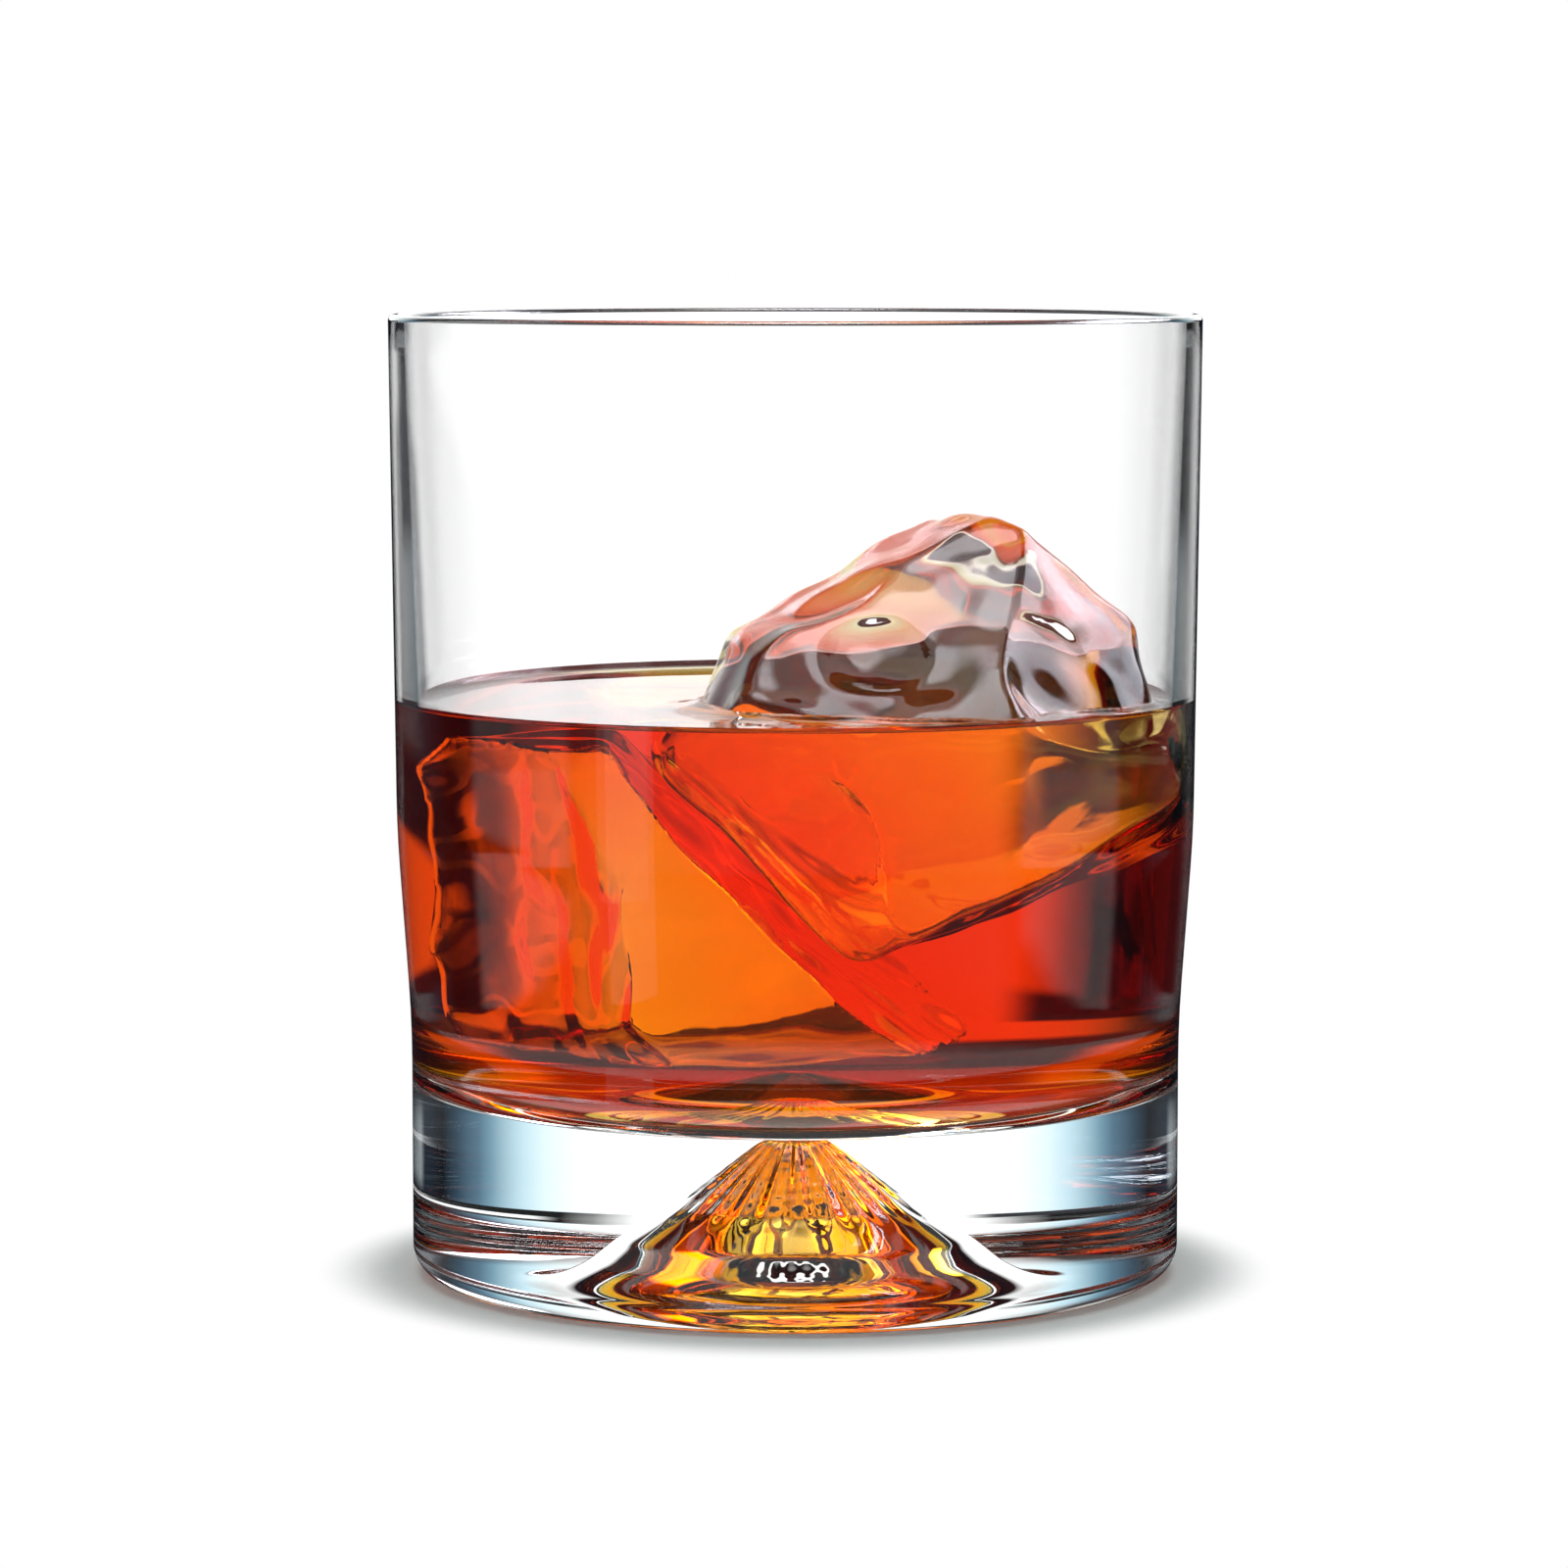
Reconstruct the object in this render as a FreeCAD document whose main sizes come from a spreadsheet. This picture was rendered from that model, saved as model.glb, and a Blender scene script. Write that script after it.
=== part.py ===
"""An old fashioned cocktail: whisky over ice in a heavy-based tumbler.

Three sub-parts, each written to its own STEP file:
  glass      a pressed tumbler, thick in the foot, with a cone pushed up into its underside
  drink      the whisky, filling the tumbler to its level and cut round the ice
  ice_block  a half-melted block of ice that stands out of the drink

Millimetres. +Z is up, and the origin is the middle of the circle that the glass stands on.
"""

import FreeCAD
import Part
import Sketcher

import os

# The driving dimensions, in millimetres.
SIZES = {
    # glass, outside, from the rim down
    "glass_height": 95.0,
    "rim_radius": 40.05,
    "rim_round": 0.62,
    "neck_top_radius": 39.45,
    "neck_top_height": 44.0,
    "foot_radius": 38.1,
    "foot_top_height": 25.0,
    "neck_round": 120.0,
    "foot_edge_round": 3.0,
    # glass, inside
    "rim_inner_radius": 38.6,
    "wall_low_radius": 37.0,
    "wall_low_height": 44.0,
    "wall_bend_round": 60.0,
    "bowl_radius": 35.6,
    "floor_height": 18.5,
    "bowl_corner_round": 9.0,
    "moat_radius": 13.5,
    "moat_height": 16.5,
    "moat_round": 12.0,
    "bump_tip_radius": 1.2,
    "bump_tip_height": 21.0,
    "bump_tip_round": 2.0,
    # cone-shaped hollow under the foot, from its rounded lip up to its tip
    "punt_radius": 15.4,
    "punt_lip_round": 7.0,
    "punt_waist_radius": 11.8,
    "punt_waist_height": 4.6,
    "punt_waist_round": 5.0,
    "punt_cone_radius": 7.9,
    "punt_cone_height": 8.1,
    "punt_cone_round": 4.0,
    "punt_tip_radius": 1.9,
    "punt_tip_height": 15.0,
    "punt_tip_round": 1.6,
    # drink
    "drink_level": 56.6,
    "meniscus_radius": 36.0,
    "meniscus_top": 58.8,
    "meniscus_round": 3.0,
    # ice block: its middle, the rough block that it is cut from, its melted edges
    "ice_middle_x": 12.0,
    "ice_middle_y": -9.0,
    "ice_middle_z": 54.0,
    "ice_rough": 56.0,
    "ice_round": 2.4,
}

# The flat faces that the ice has melted to. Each has the turn of its outward direction about Z
# from +X and its rise from the horizontal, in degrees, and its distance from the ice's middle.
ICE_FACES = {
    "crown": (205.0, 64.0, 15.4),
    "front_upper": (262.0, 52.0, 12.6),
    "right_upper": (320.0, 36.0, 16.1),
    "left_upper": (194.0, 26.0, 19.6),
    "back_right": (35.0, 45.0, 22.8),
    "front_lower": (268.0, -27.0, 15.4),
    "right_lower": (310.0, -38.0, 15.6),
    "left_lower": (232.0, -28.0, 15.9),
    "left_under": (172.0, -40.0, 19.0),
    "bottom": (350.0, -62.0, 15.8),
    "right_end": (350.0, 14.0, 22.0),
    "wall_side": (20.0, 2.0, 23.7),
    "back": (113.0, -6.0, 13.2),
    "back_under": (100.0, -50.0, 18.0),
}

# Shallow hollows melted into those faces: the turn and rise of the direction that each lies in
# from the ice's middle, the distance there, how deep it is and the radius of its curve.
ICE_HOLLOWS = {
    "crown_hollow": (205.0, 64.0, 15.4, 0.9, 30.0),
    "front_hollow": (250.0, 46.0, 12.8, 1.3, 12.0),
    "right_hollow": (322.0, 30.0, 16.1, 1.1, 28.0),
    "left_hollow": (228.0, -30.0, 15.9, 1.3, 22.0),
    "lower_hollow": (286.0, -34.0, 15.8, 1.2, 22.0),
}

doc = FreeCAD.newDocument("OldFashioned")
sheet = doc.addObject("Spreadsheet::Sheet", "Sizes")


def fill_sheet():
    """Write every driving dimension into a cell of its own, under its own alias."""
    rows = dict(SIZES)
    for face, (turn, rise, reach) in ICE_FACES.items():
        rows.update({f"{face}_turn": turn, f"{face}_rise": rise, f"{face}_reach": reach})
    for hollow, (turn, rise, reach, depth, curve) in ICE_HOLLOWS.items():
        rows.update({f"{hollow}_turn": turn, f"{hollow}_rise": rise, f"{hollow}_reach": reach})
        rows.update({f"{hollow}_depth": depth, f"{hollow}_curve": curve})
    for row, (alias, amount) in enumerate(rows.items(), start=1):
        sheet.set(f"A{row}", alias.replace("_", " "))
        sheet.set(f"B{row}", str(amount))
        sheet.setAlias(f"B{row}", alias)
    doc.recompute()


def size(alias):
    """One driving dimension, read back from the sheet. None stands for zero."""
    return float(sheet.get(alias)) if alias else 0.0


def add(kind, name):
    """A new object of the document, labelled with its own name."""
    made = doc.addObject(kind, name)
    made.Label = name
    return made


def bind(made, **formulas):
    """Bind properties of an object to expressions over the sheet."""
    for name, formula in formulas.items():
        made.setExpression(name, formula)


def hold(sketch, constraint, alias):
    """Add a constraint to a sketch, with its value bound to a cell."""
    held = sketch.addConstraint(constraint)
    sketch.setExpression(f"Constraints[{held}]", f"Sizes.{alias}")


def profile(body, name, corners):
    """A closed outline in the body's XZ plane, with some of its corners rounded.

    Each corner is (radius, height) or (radius, height, round), as aliases of cells. A radius of
    None is on the axis, and a height of None on the standing plane.
    """
    sketch = body.newObject("Sketcher::SketchObject", name)
    plane = next(part for part in body.Origin.OriginFeatures if part.Role == "XZ_Plane")
    sketch.AttachmentSupport = [(plane, "")]
    sketch.MapMode = "FlatFace"
    points = [FreeCAD.Vector(size(radius), size(height), 0) for radius, height, *_ in corners]
    for start, end in zip(points, points[1:] + points[:1]):
        sketch.addGeometry(Part.LineSegment(start, end), False)
    for line, (radius, height, *_) in enumerate(corners):
        following = (line + 1) % len(corners)
        sketch.addConstraint(Sketcher.Constraint("Coincident", line, 2, following, 1))
        place_corner(sketch, line, "DistanceX", radius, across=-2)
        place_corner(sketch, line, "DistanceY", height, across=-1)
    for line, (_, _, *rounds) in enumerate(corners):
        for alias in rounds:
            sketch.fillet(line, 1, size(alias), True, True)
            arc = max(i for i, g in enumerate(sketch.Geometry) if isinstance(g, Part.ArcOfCircle))
            hold(sketch, Sketcher.Constraint("Radius", arc, size(alias)), alias)
    return sketch


def place_corner(sketch, line, direction, alias, across):
    """Hold a line's first point at a distance from the origin, or on the axis for None."""
    if alias is None:
        sketch.addConstraint(Sketcher.Constraint("PointOnObject", line, 1, across))
    else:
        hold(sketch, Sketcher.Constraint(direction, -1, 1, line, 1, size(alias)), alias)


def turn_profile(body, kind, name, corners):
    """Turn a profile once round Z, to add to its body or to cut from it."""
    sketch = profile(body, f"{name}Profile", corners)
    feature = body.newObject(kind, name)
    feature.Profile = sketch
    feature.ReferenceAxis = (sketch, ["V_Axis"])
    feature.Angle = 360
    doc.recompute()
    return feature


def bowl_profile():
    """The inside of the tumbler: a low cone in a shallow moat, a round corner and the wall."""
    return [
        (None, "bump_tip_height"),
        ("bump_tip_radius", "bump_tip_height", "bump_tip_round"),
        ("moat_radius", "moat_height", "moat_round"),
        ("bowl_radius", "floor_height", "bowl_corner_round"),
        ("wall_low_radius", "wall_low_height", "wall_bend_round"),
        ("rim_inner_radius", "glass_height"),
        (None, "glass_height"),
    ]


def make_glass():
    """The tumbler: a blank turned with the hollow under its foot, then hollowed from above."""
    body = add("PartDesign::Body", "glass")
    outside = [
        (None, "punt_tip_height"),
        ("punt_tip_radius", "punt_tip_height", "punt_tip_round"),
        ("punt_cone_radius", "punt_cone_height", "punt_cone_round"),
        ("punt_waist_radius", "punt_waist_height", "punt_waist_round"),
        ("punt_radius", None, "punt_lip_round"),
        ("foot_radius", None, "foot_edge_round"),
        ("foot_radius", "foot_top_height", "neck_round"),
        ("neck_top_radius", "neck_top_height", "neck_round"),
        ("rim_radius", "glass_height"),
        (None, "glass_height"),
    ]
    blank = turn_profile(body, "PartDesign::Revolution", "Blank", outside)
    bowl = turn_profile(body, "PartDesign::Groove", "Bowl", bowl_profile())
    if not blank.Shape.Volume > bowl.Shape.Volume:
        raise RuntimeError("the groove has cut nothing from the glass")
    rim = body.newObject("PartDesign::Fillet", "RimRound")
    rim.Base = (bowl, rings_at(bowl.Shape, size("glass_height")))
    bind(rim, Radius="Sizes.rim_round")
    return body


def rings_at(shape, height):
    """The names of the circular edges of a shape that lie at a height."""
    return [
        f"Edge{number}"
        for number, edge in enumerate(shape.Edges, start=1)
        if isinstance(edge.Curve, Part.Circle) and abs(edge.Curve.Center.z - height) < 1e-6
    ]


def ice_placement(name, reach):
    """The expression for a place out from the ice's middle, with Z pointing outwards."""
    middle = "vector(Sizes.ice_middle_x; Sizes.ice_middle_y; Sizes.ice_middle_z)"
    facing = f"rotation(Sizes.{name}_turn; 90 - Sizes.{name}_rise; 0)"
    return f"placement({middle}; {facing}) * placement({reach}; rotation(0; 0; 0))"


def cube(name, side):
    """A cube whose side is an expression."""
    made = add("Part::Box", name)
    bind(made, Length=side, Width=side, Height=side)
    return made


def make_ice():
    """The ice: a rough block cut to its melted faces, swelled round its edges, then hollowed."""
    block = cube("RoughIce", "Sizes.ice_rough")
    corner = "; ".join(f"Sizes.ice_middle_{axis} - Sizes.ice_rough / 2" for axis in "xyz")
    bind(block, Placement=f"placement(vector({corner}); rotation(0; 0; 0))")
    for face in ICE_FACES:
        # The cutter is twice the rough block's size, so that it takes off all beyond the face. It
        # stands back by the rounding, which the swelling then adds again.
        cutter = cube(f"{face}_cutter", "Sizes.ice_rough * 2")
        start = f"-Sizes.ice_rough; -Sizes.ice_rough; Sizes.{face}_reach - Sizes.ice_round"
        bind(cutter, Placement=ice_placement(face, f"vector({start})"))
        block = cut(block, cutter, f"ice_to_{face}")
    rounded = add("Part::Offset", "RoundedIce")
    rounded.Source = block
    rounded.Join = "Arc"
    bind(rounded, Value="Sizes.ice_round")
    block = rounded
    for hollow in ICE_HOLLOWS:
        ball = add("Part::Sphere", f"{hollow}_ball")
        bind(ball, Radius=f"Sizes.{hollow}_curve")
        out = f"Sizes.{hollow}_reach - Sizes.{hollow}_depth + Sizes.{hollow}_curve"
        bind(ball, Placement=ice_placement(hollow, f"vector(0; 0; {out})"))
        block = cut(block, ball, f"ice_{hollow}")
    block.Label = "ice_block"
    return block


def cut(base, tool, name):
    """One shape less another."""
    made = add("Part::Cut", name)
    made.Base = base
    made.Tool = tool
    return made


def make_drink(ice):
    """The whisky: the tumbler's inside up to a level that climbs a little at the wall."""
    inside = add("PartDesign::Body", "TumblerInside")
    turn_profile(inside, "PartDesign::Revolution", "Fill", bowl_profile())
    below = add("PartDesign::Body", "BelowLevel")
    turn_profile(below, "PartDesign::Revolution", "Level", [
        (None, None),
        ("rim_radius", None),
        ("rim_radius", "meniscus_top"),
        ("meniscus_radius", "drink_level", "meniscus_round"),
        (None, "drink_level"),
    ])
    filled = add("Part::Common", "FilledToLevel")
    filled.Base = inside
    filled.Tool = below
    return cut(filled, ice, "drink")


def check_document():
    """Stop at the first object that failed to rebuild."""
    for made in doc.Objects:
        if {"Invalid", "Error"} & set(made.State):
            raise RuntimeError(f"{made.Label} failed: {made.State}")


def write_step(parts):
    """Check each sub-part's solid and write it to the file that its label names."""
    os.makedirs("parts", exist_ok=True)
    for made in parts:
        shape = made.Shape
        if shape.isNull() or not shape.isValid() or len(shape.Solids) != 1:
            raise RuntimeError(f"{made.Label} is not one valid solid")
        shape.exportStep(f"parts/{made.Label}.step")
        box = shape.BoundBox
        print(f"{made.Label}: {shape.Volume / 1000:.1f} cm3,"
              f" x {box.XMin:.1f}..{box.XMax:.1f} y {box.YMin:.1f}..{box.YMax:.1f}"
              f" z {box.ZMin:.1f}..{box.ZMax:.1f}")


fill_sheet()
glass = make_glass()
ice_block = make_ice()
drink = make_drink(ice_block)
doc.recompute()
check_document()
write_step([glass, drink, ice_block])
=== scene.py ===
"""An old fashioned in a heavy-based tumbler: the glass, the whisky, the ice and a pale studio."""

import math
from random import Random

import bmesh
import bpy
from bpy.props import FloatProperty, FloatVectorProperty, IntProperty, PointerProperty
from mathutils import Matrix, Vector, noise
from mathutils.bvhtree import BVHTree


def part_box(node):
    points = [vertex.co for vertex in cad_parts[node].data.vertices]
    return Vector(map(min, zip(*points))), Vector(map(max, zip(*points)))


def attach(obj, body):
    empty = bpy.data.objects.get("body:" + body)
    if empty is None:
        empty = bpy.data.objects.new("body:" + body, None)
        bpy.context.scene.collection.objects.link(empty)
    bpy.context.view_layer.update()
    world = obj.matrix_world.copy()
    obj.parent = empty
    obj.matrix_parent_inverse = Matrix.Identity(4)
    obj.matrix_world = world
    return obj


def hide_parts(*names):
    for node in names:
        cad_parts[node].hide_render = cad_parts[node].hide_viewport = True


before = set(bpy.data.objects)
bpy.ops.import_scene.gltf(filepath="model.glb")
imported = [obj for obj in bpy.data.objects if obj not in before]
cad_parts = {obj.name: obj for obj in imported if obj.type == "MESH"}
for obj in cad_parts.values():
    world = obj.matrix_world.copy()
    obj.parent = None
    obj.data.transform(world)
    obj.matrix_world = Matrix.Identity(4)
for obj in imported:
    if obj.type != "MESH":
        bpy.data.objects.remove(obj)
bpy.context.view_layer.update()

bl_info = {
    "name": "Old Fashioned",
    "version": (1, 0),
    "blender": (4, 5, 0),
    "location": "View3D > Sidebar > Old Fashioned",
    "description": "Makes an old fashioned cocktail: tumbler, whisky, ice and stage",
    "category": "Add Mesh",
}

MM = 0.001
GLASS_LOW, GLASS_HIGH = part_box("glass")

# How finely the turned shapes are made.
ARC_STEP = math.radians(4.0)  # most that an arc turns from one point to the next
LATHE_STEPS = 256             # sides of a full turn
WALL_GAP = 3.5 * MM           # longest step along the tumbler's walls
PUNT_GAP = 0.3 * MM           # longest step along the hollow under its foot
SURFACE_RINGS = 92            # rings across the whisky's surface
WELD = 1e-7                   # points closer than this are one
TOUCH = 1e-6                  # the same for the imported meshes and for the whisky's level

# Edges sharper than this many degrees stay sharp in the shading.
SHARP_GLASS, SHARP_ICE, SHARP_WHISKY = 50, 60, 40

# How the flutes under the foot vary: the height and radius over which they fade in, how far they
# drift aside and how much they swell, as shares of one flute's wave, and how often each of these
# and the lean of the rings comes round the cone.
FLUTE_FADE = 3 * MM
FLUTE_DRIFT, DRIFTS = 0.6, 3
FLUTE_SWELL, SWELLS = 0.5, 4
RING_LEANS = 5

# Melting: the passes that round the ice off, and how much more its waves sink than they swell.
RELAX_PASSES = 5
WAVE_OFFSET = 0.25

# The sunk block: how it lies, its rounded edge, and the round that keeps it clear of the glass.
SUNK_LEAN, SUNK_TURN = math.radians(-4), math.radians(10)
SUNK_EDGE = 2.5 * MM
SUNK_REACH = 34 * MM
SUNK_SIDES = 12

# The faces that the sunk block has melted to. Each has the turn of its outward direction about Z
# from +X and its rise from the horizontal, in degrees, and its distance from the block's middle.
SUNK_FACES = {
    "left_upper": (215, 30, 20 * MM),
    "front_upper": (250, 45, 21 * MM),
    "back_upper": (100, 35, 22 * MM),
    "left_lower": (200, -40, 20 * MM),
    "back_lower": (60, -35, 20 * MM),
    "front_lower": (290, -30, 21 * MM),
}

# The middle of the block that stands out of the whisky, and its face that the sunk one lies under.
ICE_MIDDLE = Vector((12, -9, 54)) * MM
ICE_UNDERSIDE = (172, -40, 19 * MM)

# How far the rim of the whisky's surface laps over its wall, and how near the ice it climbs.
SURFACE_LAP = 0.02 * MM
CLIMB_REACH = 6 * MM

# Seeds of what varies from one flute or one wave in the ice to the next.
FLUTE_SEED, ICE_SEED, SUNK_SEED = 7, 0, 11


# --- what a user may change ---------------------------------------------------------------------


def length(name, description, millimetres):
    """A length setting, given in millimetres and kept in metres."""
    return FloatProperty(name=name, description=description, default=millimetres * MM,
                         unit="LENGTH", subtype="DISTANCE", precision=5)


class TumblerSettings(bpy.types.PropertyGroup):
    """Sizes and tint of the glass."""

    rim_radius: FloatProperty(name="Rim radius", description="Outside radius at the rim",
                              default=(GLASS_HIGH.x - GLASS_LOW.x) / 2, unit="LENGTH")
    height: FloatProperty(name="Height", description="Height of the rim",
                          default=GLASS_HIGH.z, unit="LENGTH")
    rim_round: length("Rim round", "Rounding of the rim's edges", 0.62)
    neck_top_radius: length("Neck radius", "Outside radius where the neck meets the wall", 39.45)
    neck_top_height: length("Neck height", "Height where the neck meets the wall", 44.0)
    neck_round: length("Neck round", "Curve at both ends of the neck", 120.0)
    foot_radius: length("Foot radius", "Outside radius of the heavy foot", 38.1)
    foot_top_height: length("Foot height", "Height where the foot runs into the neck", 25.0)
    foot_edge_round: length("Foot edge", "Rounding of the edge that it stands on", 3.0)
    rim_inner_radius: length("Inner rim", "Inside radius at the rim", 38.6)
    wall_low_radius: length("Inner wall", "Inside radius low on the wall", 37.0)
    wall_low_height: length("Inner bend", "Height of the bend in the inside wall", 44.0)
    wall_bend_round: length("Inner bend round", "Curve of the bend in the inside wall", 60.0)
    bowl_radius: length("Bowl radius", "Inside radius at the floor", 35.6)
    floor_height: length("Floor height", "Height of the floor at the wall", 18.5)
    bowl_corner_round: length("Bowl corner", "Curve from the floor into the wall", 9.0)
    moat_radius: length("Moat radius", "Radius of the lowest ring of the floor", 13.5)
    moat_height: length("Moat height", "Height of the lowest ring of the floor", 16.5)
    moat_round: length("Moat round", "Curve of the lowest ring of the floor", 12.0)
    bump_radius: length("Bump tip radius", "Radius of the tip of the bump in the floor", 1.2)
    bump_height: length("Bump height", "Height of the bump in the floor", 21.0)
    bump_round: length("Bump round", "Rounding of the bump's tip", 2.0)
    punt_radius: length("Punt radius", "Radius of the hollow under the foot", 15.4)
    punt_lip_round: length("Punt lip", "Rounding of the hollow's edge", 7.0)
    punt_waist_radius: length("Punt waist", "Radius at the foot of the hollow's shoulder", 11.8)
    punt_waist_height: length("Punt waist height", "Height of the foot of the shoulder", 4.6)
    punt_waist_round: length("Punt waist round", "Curve at the foot of the shoulder", 5.0)
    punt_cone_radius: length("Punt cone", "Radius where the hollow's cone starts", 7.9)
    punt_cone_height: length("Punt cone height", "Height where the hollow's cone starts", 8.1)
    punt_cone_round: length("Punt cone round", "Curve at the start of the cone", 4.0)
    punt_tip_radius: length("Punt tip radius", "Radius of the tip of the hollow", 1.9)
    punt_tip_height: length("Punt tip height", "Height of the tip of the hollow", 15.0)
    punt_tip_round: length("Punt tip round", "Rounding of the hollow's tip", 1.6)
    flutes: IntProperty(name="Flutes", description="Flutes round the hollow's cone", default=22)
    flute_depth: length("Flute depth", "Depth of the flutes, from the middle", 0.14)
    flute_end: length("Flute end", "Height where the flutes run out", 6.5)
    ring_depth: length("Ring depth", "Depth of the fine rings across the flutes", 0.015)
    ring_gap: length("Ring gap", "From one fine ring to the next", 1.0)
    tint: FloatVectorProperty(name="Tint", description="What a thick piece of the glass lets by",
                              default=(0.80, 0.93, 0.95), subtype="COLOR")


class DrinkSettings(bpy.types.PropertyGroup):
    """Level and colour of the whisky."""

    level: length("Level", "Height of the whisky's surface", 56.6)
    climb: length("Climb", "How far the surface climbs at the glass and the ice", 0.8)
    climb_width: length("Climb width", "How far out from the wall the surface climbs", 1.2)
    bite: length("Bite", "How far the whisky reaches into the glass and the ice into it", 0.06)
    tint: FloatVectorProperty(name="Tint", description="What a short way through whisky lets by",
                              default=(0.988, 0.815, 0.0), subtype="COLOR")
    strength: FloatProperty(name="Strength", description="Depth of the whisky's colour, a metre",
                            default=300.0)


class IceSettings(bpy.types.PropertyGroup):
    """Melted surface of the ice, and the block that lies sunk in the whisky."""

    sunk_width: length("Sunk width", "Width of the sunk block", 30.0)
    sunk_depth: length("Sunk depth", "Depth of the sunk block, front to back", 38.0)
    sunk_height: length("Sunk height", "Height of the sunk block", 31.0)
    sunk_aside: length("Sunk aside", "The sunk block's middle, to the right", -3.0)
    sunk_back: length("Sunk back", "The sunk block's middle, behind the glass's", 3.0)
    sunk_rise: length("Sunk rise", "The sunk block's middle, above the table", 38.5)
    sunk_gap: length("Sunk gap", "Whisky between the two blocks", 2.0)
    grain: length("Grain", "Size of the mesh on the ice", 0.5)
    swell: length("Swell", "Depth of the slow waves melted into the faces", 0.7)
    swell_size: length("Swell size", "Width of those waves", 6.0)


class StageSettings(bpy.types.PropertyGroup):
    """The floor, the lamps and the camera."""

    floor_radius: FloatProperty(name="Floor", description="Radius of the floor", default=3.0,
                                unit="LENGTH")
    camera_distance: FloatProperty(name="Camera distance", description="In front of the glass",
                                   default=0.57361, unit="LENGTH")
    camera_height: FloatProperty(name="Camera height", description="Above the floor",
                                 default=0.10466, unit="LENGTH")
    camera_aside: FloatProperty(name="Camera aside", description="To the right of the middle",
                                default=-0.00111, unit="LENGTH")
    camera_tilt: FloatProperty(name="Camera tilt", description="Below the horizontal",
                               default=math.radians(5.593), subtype="ANGLE")
    lens: FloatProperty(name="Lens", description="Focal length in millimetres", default=133.34)


# --- making shapes ------------------------------------------------------------------------------


def rounded(corners):
    """Points along an outline of (radius, height, round) corners, with an arc at each round."""
    points = []
    for place, (radius, height, curve) in enumerate(corners):
        corner = Vector((radius, height))
        if not curve:
            points.append(corner)
            continue
        back = (Vector(corners[place - 1][:2]) - corner).normalized()
        ahead = (Vector(corners[place + 1][:2]) - corner).normalized()
        half = back.angle(ahead) / 2
        centre = corner + (back + ahead).normalized() * curve / math.sin(half)
        start = (corner + back * curve / math.tan(half) - centre).normalized()
        end = (corner + ahead * curve / math.tan(half) - centre).normalized()
        steps = max(3, math.ceil((math.pi - 2 * half) / ARC_STEP))
        points += [centre + start.slerp(end, step / steps) * curve for step in range(steps + 1)]
    return points


def spaced(points, gap):
    """The same outline with its long straight stretches divided, none longer than the gap."""
    out = [points[0]]
    for start, end in zip(points, points[1:]):
        steps = max(1, math.ceil((end - start).length / gap))
        out += [start.lerp(end, step / steps) for step in range(1, steps + 1)]
    return out


def pushed(points, distance):
    """The outline with each point moved to the right of its way along the outline."""
    out = []
    for place, point in enumerate(points):
        way = points[min(place + 1, len(points) - 1)] - points[max(place - 1, 0)]
        out.append(point + Vector((way.y, -way.x)).normalized() * distance)
    out[0].x = max(points[0].x, 0.0)
    return out


def lathe(outline):
    """A closed shape: the outline, which starts and ends on the axis, turned once about Z."""
    bm = bmesh.new()
    line = [bm.verts.new((point.x, 0, point.y)) for point in outline]
    edges = [bm.edges.new(pair) for pair in zip(line, line[1:])]
    bmesh.ops.spin(bm, geom=line + edges, cent=(0, 0, 0), axis=(0, 0, 1), dvec=(0, 0, 0),
                   angle=2 * math.pi, steps=LATHE_STEPS, use_merge=True, use_duplicate=False)
    bmesh.ops.remove_doubles(bm, verts=bm.verts, dist=WELD)
    bmesh.ops.recalc_face_normals(bm, faces=bm.faces)
    if bm.calc_volume(signed=True) < 0:
        bmesh.ops.reverse_faces(bm, faces=bm.faces)
    return bm


def finish_mesh(bm, name):
    """The bmesh as an object of that name, shaded smooth."""
    for face in bm.faces:
        face.smooth = True
    mesh = bpy.data.meshes.new(name)
    bm.to_mesh(mesh)
    bm.free()
    piece = bpy.data.objects.new(name, mesh)
    bpy.context.scene.collection.objects.link(piece)
    return piece


def apply_modifiers(piece):
    """Make the modifiers' result the piece's own mesh."""
    depsgraph = bpy.context.evaluated_depsgraph_get()
    mesh = bpy.data.meshes.new_from_object(piece.evaluated_get(depsgraph))
    mesh.materials.clear()
    piece.modifiers.clear()
    piece.data = mesh


def hollow_out(piece, ice, bite):
    """Cut a hollow for the ice into a piece, a bite smaller than the ice all round."""
    plug = ice.copy()
    plug.data = ice.data.copy()
    bpy.context.scene.collection.objects.link(plug)
    bm = bmesh.new()
    bm.from_mesh(plug.data)
    bm.normal_update()
    for vert, normal in [(vert, vert.normal.copy()) for vert in bm.verts]:
        vert.co -= normal * bite
    bm.to_mesh(plug.data)
    bm.free()
    cutter = piece.modifiers.new("Hollow", "BOOLEAN")
    cutter.operation = "DIFFERENCE"
    cutter.solver = "MANIFOLD"
    cutter.object = plug
    apply_modifiers(piece)
    bpy.data.objects.remove(plug)


def shade(piece, sharp_degrees):
    """Smooth shading, broken at edges sharper than an angle."""
    mesh = piece.data
    mesh.polygons.foreach_set("use_smooth", [True] * len(mesh.polygons))
    mesh.set_sharp_from_angle(angle=math.radians(sharp_degrees))


def bowl_corners(sizes):
    """The inside of the tumbler, from the wall at the rim down to the middle of the floor."""
    return [
        (sizes.wall_low_radius, sizes.wall_low_height, sizes.wall_bend_round),
        (sizes.bowl_radius, sizes.floor_height, sizes.bowl_corner_round),
        (sizes.moat_radius, sizes.moat_height, sizes.moat_round),
        (sizes.bump_radius, sizes.bump_height, sizes.bump_round),
        (0.0, sizes.bump_height, 0.0),
    ]


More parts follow.
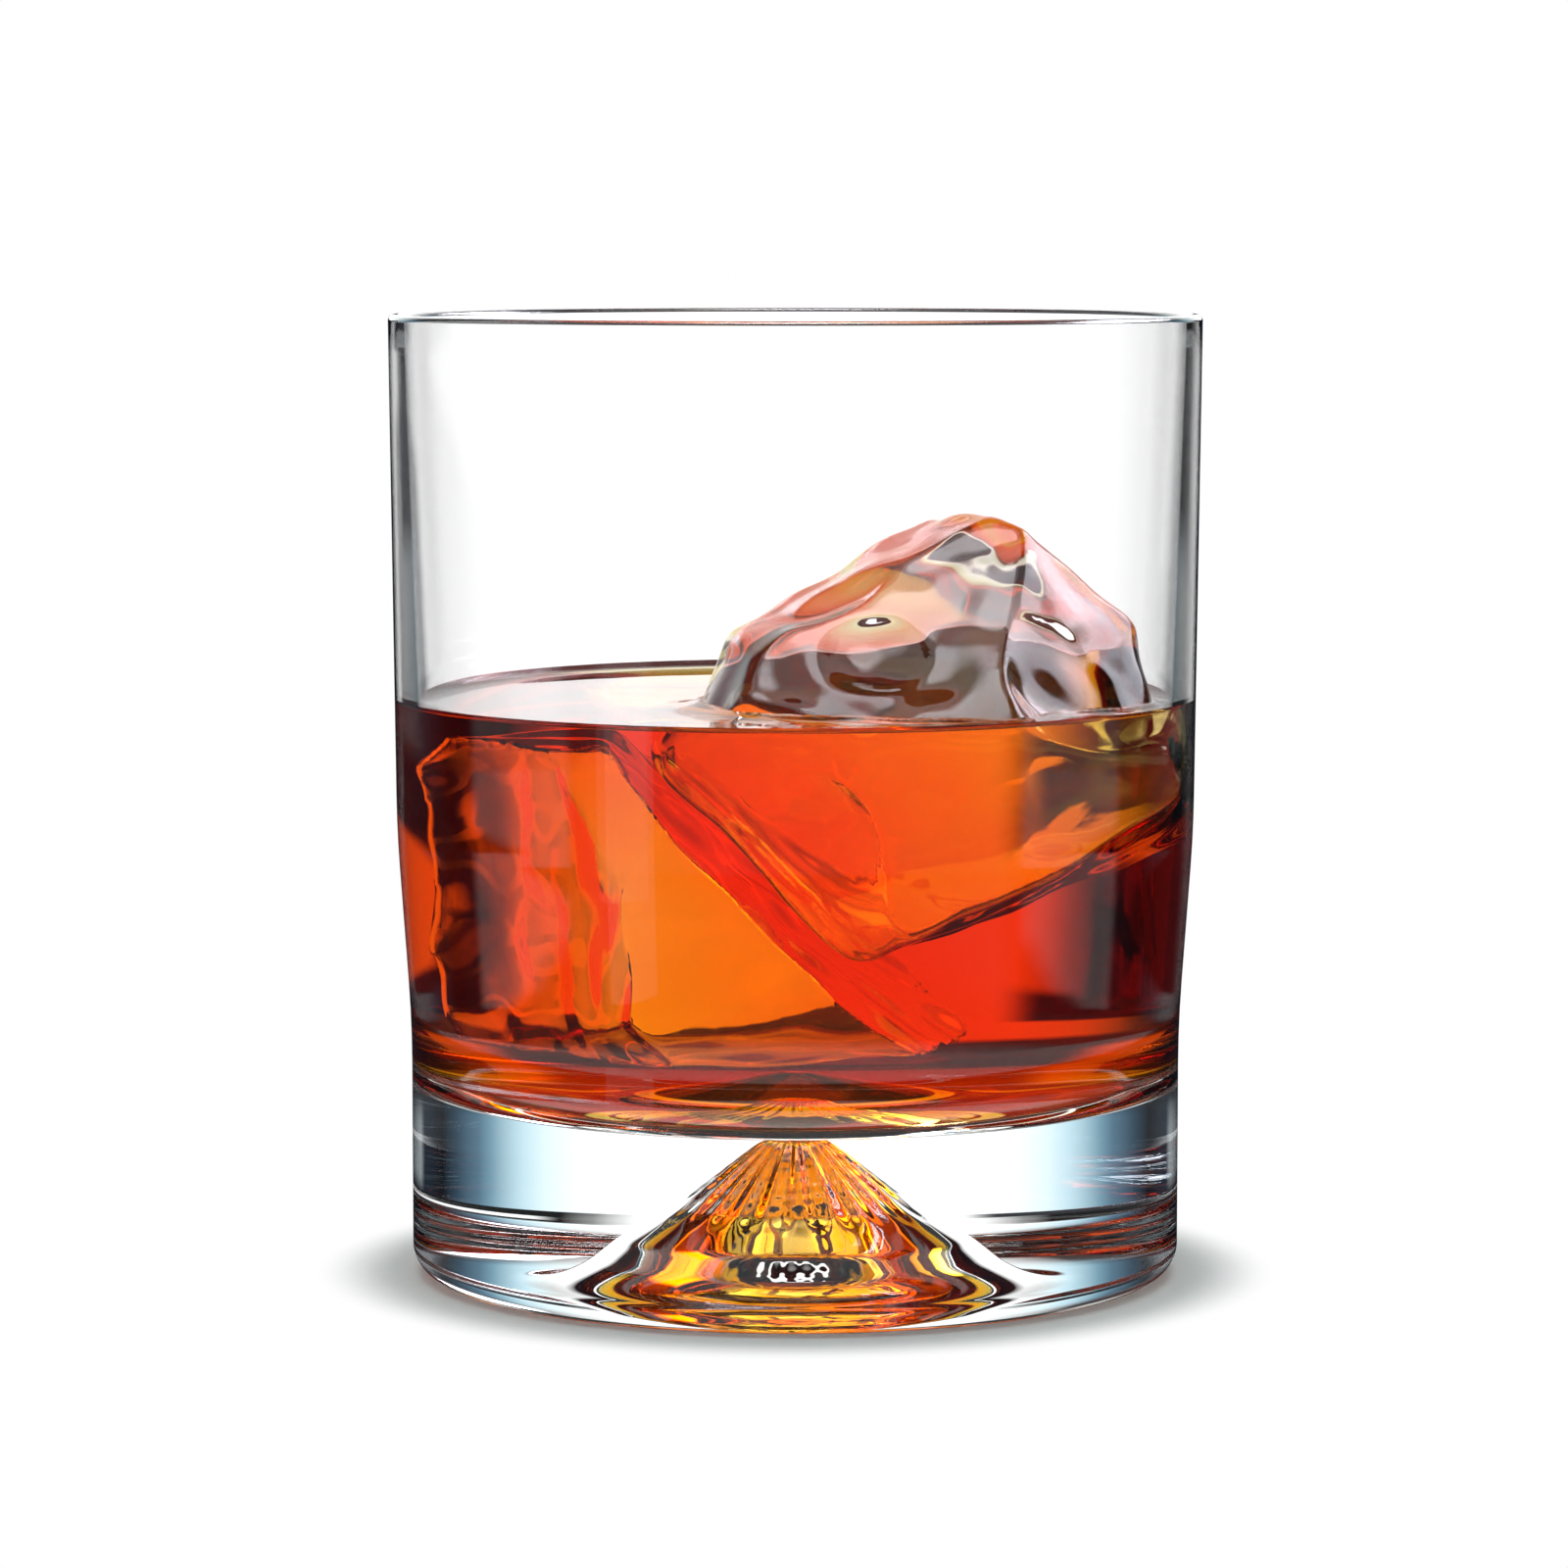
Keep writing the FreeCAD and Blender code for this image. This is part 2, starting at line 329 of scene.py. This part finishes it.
def flute(bm, sizes):
    """Press flutes, crossed by fine rings, into the cone of the hollow under the foot."""
    draw = Random(FLUTE_SEED)
    phases = [draw.uniform(0, 2 * math.pi) for _ in range(3)]
    for vert in bm.verts:
        radius, height = math.hypot(vert.co.x, vert.co.y), vert.co.z
        if not 0 < radius < sizes.punt_radius - WELD or height > sizes.punt_tip_height + WELD:
            continue
        turn = math.atan2(vert.co.y, vert.co.x)
        fade = min(1.0, max(0.0, (height - sizes.flute_end) / FLUTE_FADE))
        fade *= min(1.0, radius / FLUTE_FADE)
        drift = FLUTE_DRIFT * math.sin(DRIFTS * turn + phases[1])
        wave = math.cos(sizes.flutes * turn + phases[0] + drift)
        wave += FLUTE_SWELL * math.sin(SWELLS * turn + phases[1])
        lean = math.sin(RING_LEANS * turn + phases[2])
        rings = math.sin(2 * math.pi * height / sizes.ring_gap + lean)
        push = fade * (sizes.flute_depth * wave + sizes.ring_depth * rings)
        vert.co.xy *= 1 + push / radius


def cut_off(bm, middle, turn, rise, reach, inner=False):
    """Cut a closed block flat, at a distance out from a middle, on the far side or the inner."""
    turn, rise = math.radians(turn), math.radians(rise)
    out = Vector((math.cos(turn) * math.cos(rise), math.sin(turn) * math.cos(rise),
                  math.sin(rise)))
    made = bmesh.ops.bisect_plane(bm, geom=bm.verts[:] + bm.edges[:] + bm.faces[:],
                                  plane_co=middle + out * reach, plane_no=out,
                                  clear_outer=not inner, clear_inner=inner)
    rim = [part for part in made["geom_cut"] if isinstance(part, bmesh.types.BMEdge)]
    if rim:
        bmesh.ops.contextual_create(bm, geom=rim)


def melt(piece, settings, seed):
    """Round a rough block of ice off: an even fine mesh, relaxed, with slow waves in its faces."""
    remesh = piece.modifiers.new("Grain", "REMESH")
    remesh.mode = "VOXEL"
    remesh.voxel_size = settings.grain
    relax = piece.modifiers.new("Relax", "SMOOTH")
    relax.factor = 0.5
    relax.iterations = RELAX_PASSES
    apply_modifiers(piece)
    bm = bmesh.new()
    bm.from_mesh(piece.data)
    bm.normal_update()
    for vert, normal in [(vert, vert.normal.copy()) for vert in bm.verts]:
        wave = noise.noise(vert.co / settings.swell_size + Vector((seed, 0, 0))) - WAVE_OFFSET
        vert.co += normal * settings.swell * wave
    bm.to_mesh(piece.data)
    bm.free()
    shade(piece, SHARP_ICE)


# --- making materials ---------------------------------------------------------------------------


class Nodes:
    """A short way to build a node tree."""

    def __init__(self, tree):
        self.tree = tree
        tree.nodes.clear()

    def add(self, kind, inputs=None, **settings):
        """A node of a kind with settings made, and its inputs set or linked by name."""
        node = self.tree.nodes.new("ShaderNode" + kind)
        for name, setting in settings.items():
            setattr(node, name, setting)
        for name, given in (inputs or {}).items():
            if isinstance(given, bpy.types.NodeSocket):
                self.tree.links.new(given, node.inputs[name])
            else:
                node.inputs[name].default_value = given
        return node

    def maths(self, operation, *values):
        """A Math node's result."""
        return self.add("Math", dict(enumerate(values)), operation=operation).outputs[0]

    def mix(self, fac, one, two):
        """One colour where the factor is nought, the other where it is one."""
        return self.add("MixRGB", {"Fac": fac, "Color1": one, "Color2": two}).outputs[0]

    def fade(self, value, start, end, low=0.0, high=1.0, kind="LINEAR"):
        """A number that goes from low to high as a value goes from its start to its end."""
        return self.add("MapRange", {"Value": value, "From Min": start, "From Max": end,
                                     "To Min": low, "To Max": high},
                        interpolation_type=kind).outputs[0]

    def between(self, value, low, high, soft):
        """One between two limits of a value and nought beyond, with soft edges."""
        return self.maths("MULTIPLY", self.fade(value, low - soft, low + soft, kind="SMOOTHSTEP"),
                          self.fade(value, high + soft, high - soft, kind="SMOOTHSTEP"))

    def ramp(self, fac, stops):
        """A colour ramp's colour, from (position, colour) stops."""
        node = self.add("ValToRGB", {"Fac": fac})
        elements = node.color_ramp.elements
        while len(elements) < len(stops):
            elements.new(1.0)
        for element, (position, colour) in zip(elements, stops):
            element.position = position
            element.color = (*colour, 1.0)
        return node.outputs["Color"]


def grey(level):
    """A colour without hue."""
    return (level, level, level)


def new_material(name):
    """An empty material of that name, and a builder for its nodes."""
    material = bpy.data.materials.new(name)
    material.use_nodes = True
    return material, Nodes(material.node_tree)


# What each clear thing bends light by, the tint of its depth and how dense that tint is.
GLASS_IOR, GLASS_DENSITY = 1.5, 2.0
ICE_IOR, ICE_TINT, ICE_DENSITY = 1.31, (0.95, 0.97, 1.0), 1.0
WHISKY_IOR = 1.365

# Faint ripples in the surfaces: their width and their depth.
GLASS_RIPPLES = (6 * MM, 0.002 * MM)
ICE_RIPPLES = (4 * MM, 0.02 * MM)


def clear_material(name, ior, tint, density, ripples=None):
    """Something clear and smooth: a tint through its depth, and faint ripples if it has any."""
    material, nodes = new_material(name)
    surface = nodes.add("BsdfPrincipled", {
        "Base Color": (1.0, 1.0, 1.0, 1.0), "IOR": ior, "Transmission Weight": 1.0,
        "Roughness": 0.0})
    if ripples:
        width, depth = ripples
        where = nodes.add("TexCoord").outputs["Object"]
        ripple = nodes.add("TexNoise", {"Vector": where, "Scale": 1 / width, "Detail": 2.0})
        bump = nodes.add("Bump", {"Height": ripple.outputs["Fac"], "Strength": 1.0,
                                  "Distance": depth})
        nodes.tree.links.new(bump.outputs["Normal"], surface.inputs["Normal"])
    tinted = nodes.add("VolumeAbsorption", {"Color": (*tint, 1.0), "Density": density})
    nodes.add("OutputMaterial", {"Surface": surface.outputs[0], "Volume": tinted.outputs[0]})
    return material


# --- the pieces ---------------------------------------------------------------------------------


class TumblerOperator(bpy.types.Operator):
    """Turn the tumbler, with the fluted hollow under its foot"""

    bl_idname = "cocktail.tumbler"
    bl_label = "Tumbler"

    def execute(self, context):
        sizes = context.scene.tumbler
        foot_ring = (sizes.punt_radius + sizes.punt_lip_round, 0.0, 0.0)
        hollow = spaced(rounded([
            (0.0, sizes.punt_tip_height, 0.0),
            (sizes.punt_tip_radius, sizes.punt_tip_height, sizes.punt_tip_round),
            (sizes.punt_cone_radius, sizes.punt_cone_height, sizes.punt_cone_round),
            (sizes.punt_waist_radius, sizes.punt_waist_height, sizes.punt_waist_round),
            (sizes.punt_radius, 0.0, sizes.punt_lip_round),
            foot_ring,
        ]), PUNT_GAP)
        outside = spaced(rounded([
            foot_ring,
            (sizes.foot_radius, 0.0, sizes.foot_edge_round),
            (sizes.foot_radius, sizes.foot_top_height, sizes.neck_round),
            (sizes.neck_top_radius, sizes.neck_top_height, sizes.neck_round),
            (sizes.rim_radius, sizes.height, sizes.rim_round),
            (sizes.rim_inner_radius, sizes.height, sizes.rim_round),
            *bowl_corners(sizes),
        ]), WALL_GAP)
        bm = lathe(hollow[:-1] + outside)
        flute(bm, sizes)
        tumbler = finish_mesh(bm, "tumbler")
        shade(tumbler, SHARP_GLASS)
        tumbler.data.materials.append(
            clear_material("Clear_glass", GLASS_IOR, sizes.tint, GLASS_DENSITY, GLASS_RIPPLES))
        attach(tumbler, "root")
        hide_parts("glass")
        return {"FINISHED"}


class IceOperator(bpy.types.Operator):
    """Melt the block of ice that stands out of the whisky"""

    bl_idname = "cocktail.ice"
    bl_label = "Ice block"

    def execute(self, context):
        settings = context.scene.ice
        bm = bmesh.new()
        bm.from_mesh(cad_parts["ice_block"].data)
        bmesh.ops.remove_doubles(bm, verts=bm.verts, dist=TOUCH)
        ice = finish_mesh(bm, "ice")
        melt(ice, settings, ICE_SEED)
        ice.data.materials.append(
            clear_material("Clear_ice", ICE_IOR, ICE_TINT, ICE_DENSITY, ICE_RIPPLES))
        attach(ice, "root")
        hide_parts("ice_block")
        return {"FINISHED"}


class SunkIceOperator(bpy.types.Operator):
    """Cut and melt the block of ice that lies sunk in the whisky, to the left of the other"""

    bl_idname = "cocktail.sunk_ice"
    bl_label = "Sunk ice"

    def execute(self, context):
        settings = context.scene.ice
        bm = bmesh.new()
        bmesh.ops.create_cube(bm, size=1.0)
        bmesh.ops.scale(bm, verts=bm.verts,
                        vec=(settings.sunk_width, settings.sunk_depth, settings.sunk_height))
        bmesh.ops.rotate(bm, verts=bm.verts, cent=(0, 0, 0),
                         matrix=Matrix.Rotation(SUNK_LEAN, 3, "Y")
                         @ Matrix.Rotation(SUNK_TURN, 3, "Z"))
        middle = Vector((settings.sunk_aside, settings.sunk_back, settings.sunk_rise))
        bmesh.ops.translate(bm, verts=bm.verts, vec=middle)
        for turn, rise, reach in SUNK_FACES.values():
            cut_off(bm, middle, turn, rise, reach)
        turn, rise, reach = ICE_UNDERSIDE
        cut_off(bm, ICE_MIDDLE, turn, rise, reach + settings.sunk_gap, inner=True)
        for side in range(SUNK_SIDES):
            cut_off(bm, Vector(), side * 360 / SUNK_SIDES, 0, SUNK_REACH)
        bmesh.ops.bevel(bm, geom=bm.edges[:], offset=SUNK_EDGE, offset_type="OFFSET", segments=3,
                        profile=0.5, affect="EDGES", clamp_overlap=True, material=-1)
        bmesh.ops.recalc_face_normals(bm, faces=bm.faces)
        ice = finish_mesh(bm, "sunk_ice")
        melt(ice, settings, SUNK_SEED)
        ice.data.materials.append(
            clear_material("Sunk_ice", ICE_IOR, ICE_TINT, ICE_DENSITY, ICE_RIPPLES))
        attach(ice, "root")
        return {"FINISHED"}


class WhiskyOperator(bpy.types.Operator):
    """Fill the tumbler with whisky that climbs a little at the glass and the ice"""

    bl_idname = "cocktail.whisky"
    bl_label = "Whisky"

    def execute(self, context):
        sizes, drink = context.scene.tumbler, context.scene.drink
        top = drink.level + drink.climb
        wall = rounded([(sizes.rim_inner_radius, sizes.height, 0.0), *bowl_corners(sizes)])
        wall = pushed(spaced(wall, WALL_GAP)[::-1], drink.bite)
        wall = [point for point in wall if point.y < top]
        edge = wall[-1].x + SURFACE_LAP
        surface = [Vector((edge * (1 - ring / SURFACE_RINGS), drink.level))
                   for ring in range(SURFACE_RINGS + 1)]
        bm = lathe(wall + surface)
        ice = bpy.data.objects["ice"]
        near = BVHTree.FromObject(ice, context.evaluated_depsgraph_get())
        for vert in bm.verts:
            radius = math.hypot(vert.co.x, vert.co.y)
            if vert.co.z < drink.level - TOUCH:
                continue
            rise = math.exp((radius - edge) / drink.climb_width)
            _, _, _, gap = near.find_nearest(vert.co, CLIMB_REACH)
            if gap is not None and radius < edge:
                rise = max(rise, math.exp(-gap / drink.climb_width))
            vert.co.z = drink.level + drink.climb * rise
        whisky = finish_mesh(bm, "whisky")
        hollow_out(whisky, ice, drink.bite)
        hollow_out(whisky, bpy.data.objects["sunk_ice"], drink.bite)
        shade(whisky, SHARP_WHISKY)
        whisky.data.materials.append(
            clear_material("Whisky", WHISKY_IOR, drink.tint, drink.strength))
        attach(whisky, "root")
        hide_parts("drink")
        return {"FINISHED"}


# --- the stage ----------------------------------------------------------------------------------


def add_area(name, place, aim, width, height, watts):
    """A white rectangular lamp at a place, facing a point."""
    lamp = bpy.data.lights.new(name, "AREA")
    lamp.shape = "RECTANGLE"
    lamp.size, lamp.size_y, lamp.energy = width, height, watts
    lit = bpy.data.objects.new(name, lamp)
    lit.location = place
    lit.rotation_mode = "QUATERNION"
    lit.rotation_quaternion = (Vector(aim) - Vector(place)).to_track_quat("-Z", "Y")
    bpy.context.scene.collection.objects.link(lit)
    return lit


# The lamps: place, the point that each faces, width, height and watts.
LAMPS = {
    "Overhead": ((0.0, 0.0, 0.9), (0.0, 0.0, 0.0), 0.8, 0.8, 4.5),
    "Strip": ((-0.55, -0.48, 0.12), (0.0, 0.0, 0.05), 0.2, 0.5, 0.12),
}

# Tones of the studio.
WHITE = (1.0, 1.0, 1.0, 1.0)
BLACK = (0.004, 0.005, 0.007, 1.0)
FRONT_GREY = (0.14, 0.145, 0.15, 1.0)
TABLE_GREY = (0.07, 0.075, 0.08)
LIMB_GREY = (0.45, 0.5, 0.52, 1.0)

# Tones round the studio, from either side (0) to the front or the back (1). The foot, the body
# and the neck of the glass each show a band of it, and above them lies a higher band.
FOOT_TONES = (
    (0.0, (0.02, 0.03, 0.045)), (0.25, (0.02, 0.03, 0.045)), (0.38, (0.005, 0.007, 0.01)),
    (0.45, (0.03, 0.06, 0.09)), (0.53, (0.089, 0.168, 0.235)), (0.567, (0.165, 0.305, 0.386)),
    (0.644, (0.515, 0.708, 0.79)), (0.69, (0.723, 0.863, 0.896)), (0.73, (0.84, 0.93, 0.947)),
    (0.80, grey(1.0)),
)
BODY_TONES = ((0.0, grey(0.006)), (0.72, grey(0.006)), (0.77, grey(0.2)), (0.84, grey(1.0)))
NECK_TONES = ((0.0, grey(1.0)), (0.08, grey(1.0)), (0.15, grey(0.01)), (0.72, grey(0.006)),
              (0.77, grey(0.25)), (0.84, grey(1.0)))
HIGH_TONES = ((0.0, grey(0.5)), (0.3, grey(0.05)), (0.6, grey(0.05)), (0.8, grey(1.0)))

# Tones of the table as the glass shows it, from the horizon (0) to straight down (1).
TABLE_TONES = ((0.0, TABLE_GREY), (0.172, TABLE_GREY), (0.194, grey(0.7)))

# Rises from the horizon, in degrees, over which one band gives way to the next.
TABLE_TO_FOOT = (-12.6, -11.6)
FOOT_TO_BODY = (-8.8, -8.2)
BODY_TO_NECK = (-5.6, -5.2)
NECK_TO_FOOT = (4.0, 6.0)
LEVEL_TO_HIGH = (12.0, 22.0)
HIGH_TO_ROOF = (30.0, 36.0)

# Where the front of the studio begins, by Y, and the window in its middle, by the turn.
FRONT = (-0.3, -0.45)
WINDOW = (70.0, 76.0)

# On the left, the body's and the neck's tones are those of this much nearer the front or back.
LEFT = (0.05, -0.05)
LEFT_SHIFT = 0.035

# Cards, in front of the bands: the turns about Z from +X that each lies between and its soft
# edge, the same for its rises, and its colour. Degrees throughout.
DARK_FLAG = ((108.0, 150.0, 3.0), (-8.4, -4.6, 0.3), (0.03, 0.03, 0.035, 1.0))
RIGHT_CARD = ((0.0, 62.0, 3.0), (-2.2, 2.0, 0.4), WHITE)
BACK_CLOTH = ((56.0, 122.0, 6.0), (-52.0, -14.0, 2.0), (0.03, 0.033, 0.036, 1.0))
SOFTBOX = ((6.0, 56.0, 5.0), (22.0, 42.0, 4.0), (9.0, 9.0, 10.0, 1.0))

# The grey at both sides that the foot's edges show: its share of the way round, and its rises.
LIMB = ((-1.0, 0.22, 0.03), (-11.0, -8.8, 0.3))

# A brighter stretch of sky above the horizon, and how much brighter it is.
BRIGHT_SKY = (3.0, 6.6, 0.4)
BRIGHTER = 1.35

# What shines on the outside of things: nothing from below, the studio, and a lamp overhead.
SHINE_RISE = (1.0, 2.5)
TOP_LIGHT = ((72.0, 80.0), (6.0, 6.0, 6.3, 1.0))

# Strength of the world for each kind of ray: on plain surfaces, in reflections, through the
# glass and straight to the eye.
PLAIN, SHINING, THROUGH, STRAIGHT = 0.28, 2.4, 1.3, 1.0


class Studio(Nodes):
    """The world's nodes, with the way that a ray goes as turns and a rise in degrees."""

    def __init__(self, tree):
        super().__init__(tree)
        way = self.add("SeparateXYZ", {"Vector": self.add("TexCoord").outputs["Generated"]})
        self.x, self.y = way.outputs["X"], way.outputs["Y"]
        self.bearing = self.degrees("ARCTAN2", self.y, self.x)
        self.rise = self.degrees("ARCSINE", way.outputs["Z"])
        # The turn from the nearer side, the same to the left and right and to the front and back.
        self.turn = self.degrees("ARCTAN2", self.maths("ABSOLUTE", self.y),
                                 self.maths("ABSOLUTE", self.x))
        self.share = self.maths("DIVIDE", self.turn, 90.0)

    def degrees(self, operation, *values):
        """An angle from a Math node, in degrees."""
        return self.maths("MULTIPLY", self.maths(operation, *values), 180 / math.pi)

    def window(self, turns, rises):
        """One inside a stretch of turns and rises and nought outside, with soft edges."""
        return self.maths("MULTIPLY", self.between(self.bearing, *turns),
                          self.between(self.rise, *rises))

    def card(self, tones, card):
        """The tones with a card in front of them."""
        turns, rises, colour = card
        return self.mix(self.window(turns, rises), tones, colour)

    def band(self, below, above, rises):
        """One band of tones above another."""
        return self.mix(self.fade(self.rise, *rises), below, above)


def level_tones(studio, front):
    """The studio round the horizon: the bands that the foot, the body and the neck show."""
    shift = studio.fade(studio.x, *LEFT, high=LEFT_SHIFT)
    shifted = studio.maths("ADD", studio.share, shift)
    foot = studio.ramp(studio.share, FOOT_TONES)
    body = studio.ramp(shifted, BODY_TONES)
    neck = studio.ramp(shifted, NECK_TONES)
    tones = studio.band(studio.band(foot, body, FOOT_TO_BODY), neck, BODY_TO_NECK)
    tones = studio.band(tones, foot, NECK_TO_FOOT)
    sides, rises = LIMB
    limb = studio.maths("MULTIPLY", studio.between(studio.share, *sides),
                        studio.between(studio.rise, *rises))
    tones = studio.mix(limb, tones, LIMB_GREY)
    window = studio.maths("MULTIPLY", studio.fade(studio.rise, *BODY_TO_NECK),
                          studio.fade(studio.turn, *WINDOW))
    tones = studio.mix(front, tones, studio.mix(window, FRONT_GREY, neck))
    return studio.card(studio.card(tones, DARK_FLAG), RIGHT_CARD)


def light_world():
    """White behind the glass for the eye, and a studio of white cards and dark gaps in it."""
    world = bpy.data.worlds.new("Studio")
    world.use_nodes = True
    bpy.context.scene.world = world
    studio = Studio(world.node_tree)
    front = studio.fade(studio.y, *FRONT)
    high = studio.mix(front, studio.ramp(studio.share, HIGH_TONES), FRONT_GREY)
    fall = studio.maths("DIVIDE", studio.rise, -90.0)
    table = studio.card(studio.ramp(fall, TABLE_TONES), BACK_CLOTH)
    seen = studio.band(table, level_tones(studio, front), TABLE_TO_FOOT)
    seen = studio.band(seen, high, LEVEL_TO_HIGH)
    seen = studio.card(studio.band(seen, BLACK, HIGH_TO_ROOF), SOFTBOX)
    sky = studio.fade(studio.between(studio.rise, *BRIGHT_SKY), 0.0, 1.0, 1.0, BRIGHTER)
    seen = studio.add("VectorMath", {0: seen, "Scale": sky}, operation="SCALE").outputs[0]
    top_rises, top_colour = TOP_LIGHT
    glint = studio.band(studio.band(BLACK, seen, SHINE_RISE), top_colour, top_rises)
    lights = [studio.add("Background", {"Color": colour, "Strength": strength}).outputs[0]
              for colour, strength in ((WHITE, PLAIN), (glint, SHINING), (seen, THROUGH),
                                       (WHITE, STRAIGHT))]
    path = studio.add("LightPath")
    out = lights[0]
    for ray, light in zip(("Glossy", "Transmission", "Camera"), lights[1:]):
        out = studio.add("MixShader", {0: path.outputs[f"Is {ray} Ray"], 1: out,
                                       2: light}).outputs[0]
    studio.add("OutputWorld", {"Surface": out})


# The paper: the radii between which the shade round the glass, painted by distance from it and
# deepened by the glass's real shadow, gives way to plain white; the white left in that shade;
# and its flecks, whose grey-green tints the shade.
PAINTED_SHADE_EDGE = (39 * MM, 48 * MM)
PAINTED_SHADE_WHITE = 0.1
FLECKS = 900.0
FLECK_TONES = ((0.0, (0.70, 0.80, 0.79)), (1.0, (0.76, 0.86, 0.85)))


def floor_material():
    """Pale paper: painted shade round the glass, deepened by its real shadow; white further off.
    """
    material, nodes = new_material("Pale_floor")
    where = nodes.add("TexCoord").outputs["Object"]
    far = nodes.add("VectorMath", {0: where}, operation="LENGTH").outputs["Value"]
    # Painted shade: by distance alone, the paper shows its dim lit colour near the glass and plain
    # white further off; the glass's real shadow falls in that dim part.
    white = nodes.fade(far, *PAINTED_SHADE_EDGE, low=PAINTED_SHADE_WHITE, kind="SMOOTHSTEP")
    fleck = nodes.add("TexNoise", {"Vector": where, "Scale": FLECKS})
    paper = nodes.add("BsdfDiffuse", {"Color": nodes.ramp(fleck.outputs["Fac"], FLECK_TONES)})
    glow = nodes.add("Emission", {"Color": WHITE, "Strength": 1.0})
    path = nodes.add("LightPath")
    share = nodes.maths("MULTIPLY", white, path.outputs["Is Camera Ray"])
    mixed = nodes.add("MixShader", {0: share, 1: paper.outputs[0], 2: glow.outputs[0]})
    nodes.add("OutputMaterial", {"Surface": mixed.outputs[0]})
    return material


# The floor's sides, and how often a ray may bounce in all, through clear things and off them.
FLOOR_SIDES = 96
BOUNCES, CLEAR_BOUNCES, GLOSSY_BOUNCES = 24, 24, 8


class StageOperator(bpy.types.Operator):
    """Lay the pale floor and set the lamps and the camera"""

    bl_idname = "cocktail.stage"
    bl_label = "Stage"

    def execute(self, context):
        stage = context.scene.stage
        bm = bmesh.new()
        bmesh.ops.create_circle(bm, cap_ends=True, segments=FLOOR_SIDES,
                                radius=stage.floor_radius)
        floor = finish_mesh(bm, "floor")
        floor.data.materials.append(floor_material())
        floor.visible_transmission = False
        floor.visible_glossy = False
        light_world()
        for name, given in LAMPS.items():
            add_area(name, *given)
        lens = bpy.data.cameras.new("Camera")
        lens.lens = stage.lens
        lens.sensor_width = 36.0
        lens.clip_start = 0.01
        camera = bpy.data.objects.new("Camera", lens)
        camera.location = (stage.camera_aside, -stage.camera_distance, stage.camera_height)
        camera.rotation_euler = (math.pi / 2 - stage.camera_tilt, 0.0, 0.0)
        context.scene.collection.objects.link(camera)
        context.scene.camera = camera
        context.scene.view_settings.view_transform = "Standard"
        context.scene.cycles.max_bounces = BOUNCES
        context.scene.cycles.transmission_bounces = CLEAR_BOUNCES
        context.scene.cycles.glossy_bounces = GLOSSY_BOUNCES
        return {"FINISHED"}


class CocktailPanel(bpy.types.Panel):
    """Buttons for each piece of the cocktail"""

    bl_idname = "VIEW3D_PT_cocktail"
    bl_label = "Old Fashioned"
    bl_space_type = "VIEW_3D"
    bl_region_type = "UI"
    bl_category = "Old Fashioned"

    def draw(self, context):
        for operator in OPERATORS:
            self.layout.operator(operator.bl_idname)


SETTINGS = {"tumbler": TumblerSettings, "drink": DrinkSettings, "ice": IceSettings,
            "stage": StageSettings}
OPERATORS = (TumblerOperator, IceOperator, SunkIceOperator, WhiskyOperator, StageOperator)


def register():
    for made in (*SETTINGS.values(), *OPERATORS, CocktailPanel):
        bpy.utils.register_class(made)
    for name, group in SETTINGS.items():
        setattr(bpy.types.Scene, name, PointerProperty(type=group))


def unregister():
    for name in SETTINGS:
        delattr(bpy.types.Scene, name)
    for made in (CocktailPanel, *OPERATORS, *SETTINGS.values()):
        bpy.utils.unregister_class(made)


def main():
    """Make the whole cocktail."""
    register()
    bpy.ops.cocktail.ice()
    bpy.ops.cocktail.sunk_ice()
    bpy.ops.cocktail.whisky()
    bpy.ops.cocktail.tumbler()
    bpy.ops.cocktail.stage()


if __name__ == "__main__":
    main()
